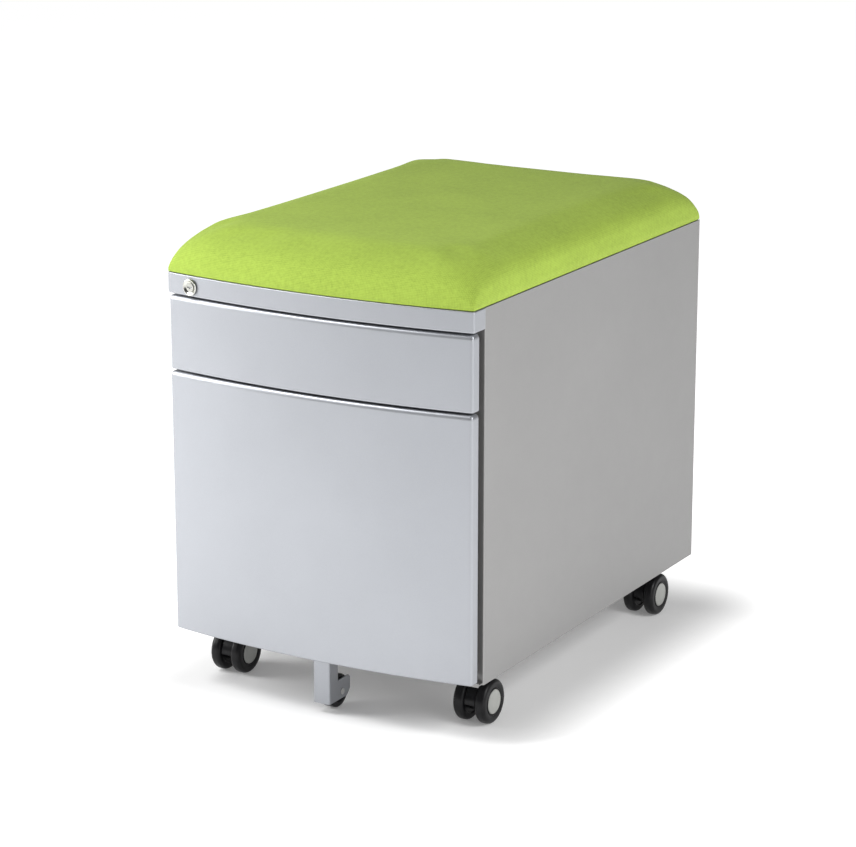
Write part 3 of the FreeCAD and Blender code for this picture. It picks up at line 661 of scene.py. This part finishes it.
def trim_hem(piece):
    """Cuts the skirt off level at the hem and closes the pad underneath."""
    bm = bmesh.new()
    bm.from_mesh(piece.data)
    everything = list(bm.verts) + list(bm.edges) + list(bm.faces)
    hem = (0.0, 0.0, SEAT_HEM)
    bmesh.ops.bisect_plane(bm, geom=everything, plane_co=hem, plane_no=(0.0, 0.0, 1.0), clear_inner=True)
    rim = [edge for edge in bm.edges if edge.is_boundary]
    bmesh.ops.holes_fill(bm, edges=rim, sides=0)
    bmesh.ops.recalc_face_normals(bm, faces=bm.faces)
    bm.to_mesh(piece.data)
    bm.free()


def build_seat():
    piece = make_object("seat_pad", seat_start_mesh(), "seat_fabric")
    remesh = piece.modifiers.new("even_mesh", "REMESH")
    remesh.mode = "VOXEL"
    remesh.voxel_size = SEAT_MESH
    apply_modifier(piece, remesh)
    fill_with_foam(piece)
    smooth = piece.modifiers.new("soft_surface", "SMOOTH")
    smooth.factor = 0.5
    smooth.iterations = 4
    apply_modifier(piece, smooth)
    rounded = piece.modifiers.new("finer", "SUBSURF")
    rounded.levels = 1
    rounded.render_levels = 1
    apply_modifier(piece, rounded)
    keep_over_case(piece)
    trim_hem(piece)
    for face in piece.data.polygons:
        face.use_smooth = True
    smooth_by_angle(piece, 50.0)
    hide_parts("seat_cushion")
    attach(piece, "cabinet")


# ================================================================ stage, light and camera
FLOOR_HALF = 30.0
# painted shadow: the floor's glow under and close round the cabinet is turned down this low
FLOOR_GLOW_IN_PAINTED_SHADOW = 0.16
FLOOR_GLOW_FAR = 0.92
SHADOW_MIDDLE = (0.0, -0.02, 0.0)
SHADOW_HALF_SIZE = (HALF, Y_REAR, 0.0)
SHADOW_REACH = 0.15              # from the footprint out to where the painted shadow ends and the floor is plain white
WORLD_LIGHT = 0.08


def build_stage():
    """A white floor that glows evenly, except under the cabinet and close round it, where its glow is
    turned down as a painted shadow.
    """
    bm = bmesh.new()
    signs = ((-1, -1), (1, -1), (1, 1), (-1, 1))
    bm.faces.new([bm.verts.new((x * FLOOR_HALF, y * FLOOR_HALF, 0.0)) for x, y in signs])
    mesh = bpy.data.meshes.new("floor")
    bm.to_mesh(mesh)
    bm.free()
    floor = bpy.data.objects.new("floor", mesh)
    bpy.context.scene.collection.objects.link(floor)
    s = Shader("studio_floor", Roughness=0.9)
    s.bsdf.inputs["Base Color"].default_value = (0.86, 0.86, 0.86, 1.0)
    s.bsdf.inputs["Emission Color"].default_value = (1.0, 1.0, 1.0, 1.0)
    # painted shadow: the glow rises from low under the cabinet to full at the shadow's reach
    painted_shadow_fade = s.node("ShaderNodeMapRange", interpolation_type="SMOOTHSTEP")
    s.link(distance_from_footprint(s), painted_shadow_fade.inputs["Value"])
    painted_shadow_fade.inputs["From Max"].default_value = SHADOW_REACH
    painted_shadow_fade.inputs["To Min"].default_value = FLOOR_GLOW_IN_PAINTED_SHADOW
    painted_shadow_fade.inputs["To Max"].default_value = FLOOR_GLOW_FAR
    s.link(painted_shadow_fade.outputs["Result"], s.bsdf.inputs["Emission Strength"])
    mesh.materials.append(s.material)


def distance_from_footprint(s):
    """How far a point of the floor lies outside the box that the painted shadow falls in."""
    value = s.place
    steps = (
        ("SUBTRACT", SHADOW_MIDDLE),
        ("ABSOLUTE", (0.0, 0.0, 0.0)),
        ("SUBTRACT", SHADOW_HALF_SIZE),
        ("MAXIMUM", (0.0, 0.0, 0.0)))
    for operation, second in steps:
        made = s.node("ShaderNodeVectorMath", operation=operation)
        s.link(value, made.inputs[0])
        made.inputs[1].default_value = second
        value = made.outputs["Vector"]
    length = s.node("ShaderNodeVectorMath", operation="LENGTH")
    s.link(value, length.inputs[0])
    return length.outputs["Value"]


def build_world():
    world = bpy.data.worlds.new("studio")
    bpy.context.scene.world = world
    world.use_nodes = True
    background = world.node_tree.nodes["Background"]
    background.inputs["Color"].default_value = (1.0, 1.0, 1.0, 1.0)
    background.inputs["Strength"].default_value = WORLD_LIGHT


def softbox(name, place, aim, width, height, power):
    light = bpy.data.lights.new(name, "AREA")
    light.shape = "RECTANGLE"
    light.size = width
    light.size_y = height
    light.energy = power
    lamp = bpy.data.objects.new(name, light)
    bpy.context.scene.collection.objects.link(lamp)
    lamp.location = place
    direction = Vector(aim) - Vector(place)
    lamp.rotation_euler = direction.to_track_quat("-Z", "Y").to_euler()


LIGHTS = (                       # name, place, width, height, watts
    ("key_left", (-1.6, -1.0, 0.9), 0.8, 0.8, 25.0),
    ("high_left", (-0.8, -0.9, 1.6), 0.6, 0.6, 18.0),
    ("side_right", (1.6, -0.3, 1.4), 0.7, 0.7, 17.0),
    ("low_right", (1.5, -0.6, 0.6), 0.6, 0.6, 4.0),
)
LIGHT_AIM = (0.0, 0.0, 0.30)
CAMERA_PLACE = (1.6108, -2.8103, 1.1703)
CAMERA_DOWN = 15.58              # degrees below level
CAMERA_TURN = 30.08              # degrees round from square to the front
CAMERA_LENS = 123.4


def build_lights():
    for name, place, width, height, watts in LIGHTS:
        softbox(name, place, LIGHT_AIM, width, height, watts)


def build_camera():
    camera = bpy.data.cameras.new("camera")
    camera.sensor_width = 36.0
    camera.lens = CAMERA_LENS
    holder = bpy.data.objects.new("camera", camera)
    bpy.context.scene.collection.objects.link(holder)
    holder.location = CAMERA_PLACE
    holder.rotation_euler = (math.radians(90 - CAMERA_DOWN), 0.0, math.radians(CAMERA_TURN))
    bpy.context.scene.camera = holder


dress_cad_nodes()
build_fronts()
build_small_pieces()
build_seat()
build_stage()
build_world()
build_lights()
build_camera()
bpy.context.scene.view_settings.view_transform = "Standard"
